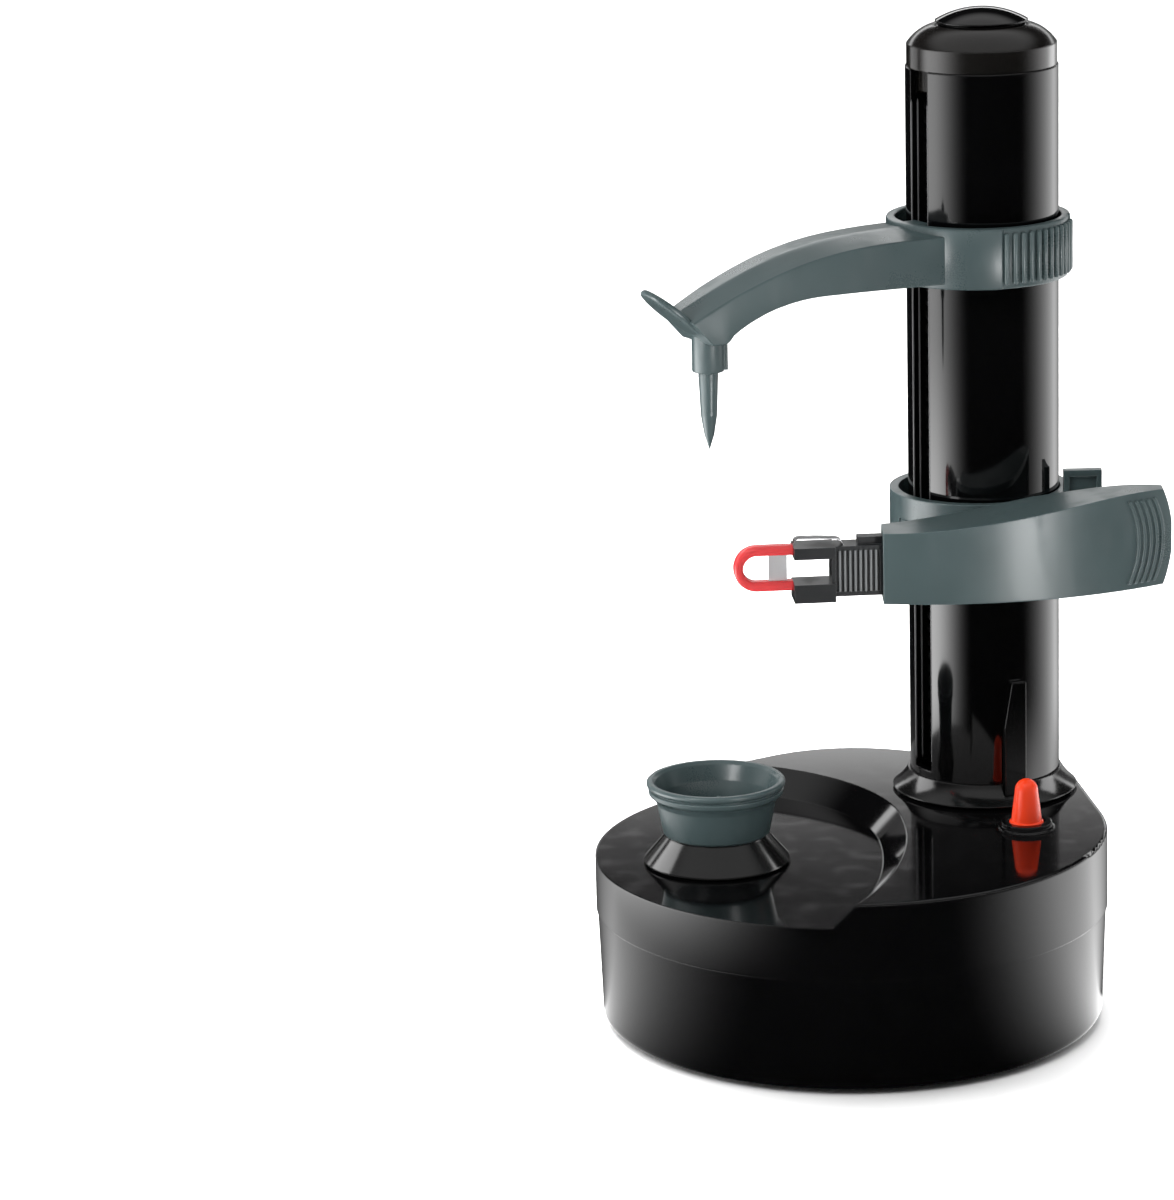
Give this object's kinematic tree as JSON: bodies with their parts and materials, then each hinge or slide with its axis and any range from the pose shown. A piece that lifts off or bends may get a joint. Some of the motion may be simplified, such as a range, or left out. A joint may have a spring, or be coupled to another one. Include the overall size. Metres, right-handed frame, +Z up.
{
  "type": "electric tower peeler",
  "caption": "Electric vegetable peeler: black round base with slotted tower, turning food cup, sliding top arm with pin, and a sliding lever with a red blade guide.",
  "frame": {"origin": "on the table, under the middle of the whole object", "axes": "+Z up; +X from the food axis towards the tower axis"},
  "size_m": [0.154, 0.1458, 0.2821],
  "materials": {
    "black_gloss": "glossy moulded black",
    "black_satin": "satin moulded black",
    "slate": "satin slate grey-green",
    "red": "glossy red-orange",
    "guide_red": "translucent red",
    "steel": "brushed",
    "brass": "turned",
    "gear_white": "moulded acetal",
    "rubber": "soft"
  },
  "bodies": {
    "base": {"base_shell": "black_gloss", "base_cover": "black_gloss", "rubber_feet": "rubber", "cover_screws": "steel", "battery_bay": "black_satin", "battery_contacts": "steel", "battery_door": "black_satin", "power_socket": "black_satin", "rocker_pin": "steel", "micro_switch": "black_satin", "tower_tube": "black_gloss", "tower_collar": "black_gloss", "tower_cap": "black_gloss", "cap_plug": "black_gloss", "screw_top_bush": "gear_white", "gear_plate": "black_satin", "plate_screws": "steel", "gear_axles": "steel", "motor_can": "steel", "motor_end_cap": "black_satin", "motor_screws": "steel", "spindle_bush": "brass"},
    "spindle": {"spindle_shaft": "steel", "spindle_gear": "gear_white", "drive_cone": "black_gloss", "food_cup": "slate"},
    "screw": {"lead_screw": "steel", "screw_gear": "gear_white"},
    "idler": {"idler_gear": "gear_white"},
    "low_wheel": {"low_gear": "gear_white"},
    "mid_wheel": {"mid_gear": "gear_white"},
    "rotor": {"motor_shaft": "steel", "motor_pinion": "brass"},
    "button": {"switch_button": "red"},
    "rocker": {"switch_rocker": "black_satin"},
    "finger": {"stop_finger": "black_satin"},
    "carriage": {"carriage_ring": "slate", "pivot_pin": "steel", "lever_spring": "steel"},
    "nut": {"half_nut": "slate"},
    "lever": {"peeling_lever": "slate", "blade_holder": "black_satin", "blade_guide": "guide_red", "peeling_blade": "steel"},
    "arm": {"top_arm": "slate"},
    "pin": {"top_pin": "slate"}
  },
  "joints": [
    {"name": "food_spin", "type": "hinge", "parent": "base", "child": "spindle", "pos_m": [-0.04148, 0.01159, 0.06], "axis": [0, 0, 1], "continuous": true},
    {"name": "screw_spin", "type": "hinge", "parent": "base", "child": "screw", "pos_m": [0.03951, 0.01159, 0.06], "axis": [0, 0, 1], "continuous": true},
    {"name": "idler_spin", "type": "hinge", "parent": "base", "child": "idler", "pos_m": [-0.00049, 0.01159, 0.038], "axis": [0, 0, 1], "continuous": true},
    {"name": "low_spin", "type": "hinge", "parent": "base", "child": "low_wheel", "pos_m": [-0.01672, 0.03635, 0.038], "axis": [0, 0, 1], "continuous": true},
    {"name": "mid_spin", "type": "hinge", "parent": "base", "child": "mid_wheel", "pos_m": [0.00843, 0.04309, 0.038], "axis": [0, 0, 1], "continuous": true},
    {"name": "motor_spin", "type": "hinge", "parent": "base", "child": "rotor", "pos_m": [0.02965, 0.03181, 0.033], "axis": [0, 0, 1], "continuous": true},
    {"name": "button_press", "type": "slide", "parent": "base", "child": "button", "axis": [0, 0, 1], "range_m": [-0.003, 0]},
    {"name": "rocker_tilt", "type": "hinge", "parent": "base", "child": "rocker", "pos_m": [0.04015, -0.02026, 0.0426], "axis": [-0.9014, 0.433, 0], "range_deg": [-16.05, 0]},
    {"name": "finger_rise", "type": "slide", "parent": "base", "child": "finger", "axis": [0, 0, 1], "range_m": [0, 0.003]},
    {"name": "carriage_slide", "type": "slide", "parent": "base", "child": "carriage", "axis": [0, 0, 1], "range_m": [-0.046, 0.048]},
    {"name": "nut_release", "type": "slide", "parent": "carriage", "child": "nut", "axis": [-1, 0, 0], "range_m": [0, 0.003], "stiffness_N_per_m": 60},
    {"name": "lever_swing", "type": "hinge", "parent": "carriage", "child": "lever", "pos_m": [0.0287, -0.01444, 0.132], "axis": [0, 0, 1], "range_deg": [-10, 16], "stiffness_Nm_per_rad": 0.05, "deforming": ["lever_spring"]},
    {"name": "arm_slide", "type": "slide", "parent": "base", "child": "arm", "axis": [0, 0, 1], "range_m": [-0.052, 0.04]},
    {"name": "pin_spin", "type": "hinge", "parent": "arm", "child": "pin", "pos_m": [-0.04148, 0.01159, 0.185], "axis": [0, 0, 1], "continuous": true}
  ],
  "couplings": [
    {"joint": "screw_spin", "follows": "food_spin", "ratio": 1.037},
    {"joint": "idler_spin", "follows": "food_spin", "ratio": -2.1538},
    {"joint": "low_spin", "follows": "food_spin", "ratio": -4},
    {"joint": "mid_spin", "follows": "food_spin", "ratio": 13.333},
    {"joint": "motor_spin", "follows": "food_spin", "ratio": -53.333},
    {"joint": "rocker_tilt", "follows": "button_press", "rad_per_m": 93.396},
    {"joint": "finger_rise", "follows": "button_press", "ratio": -1}
  ]
}
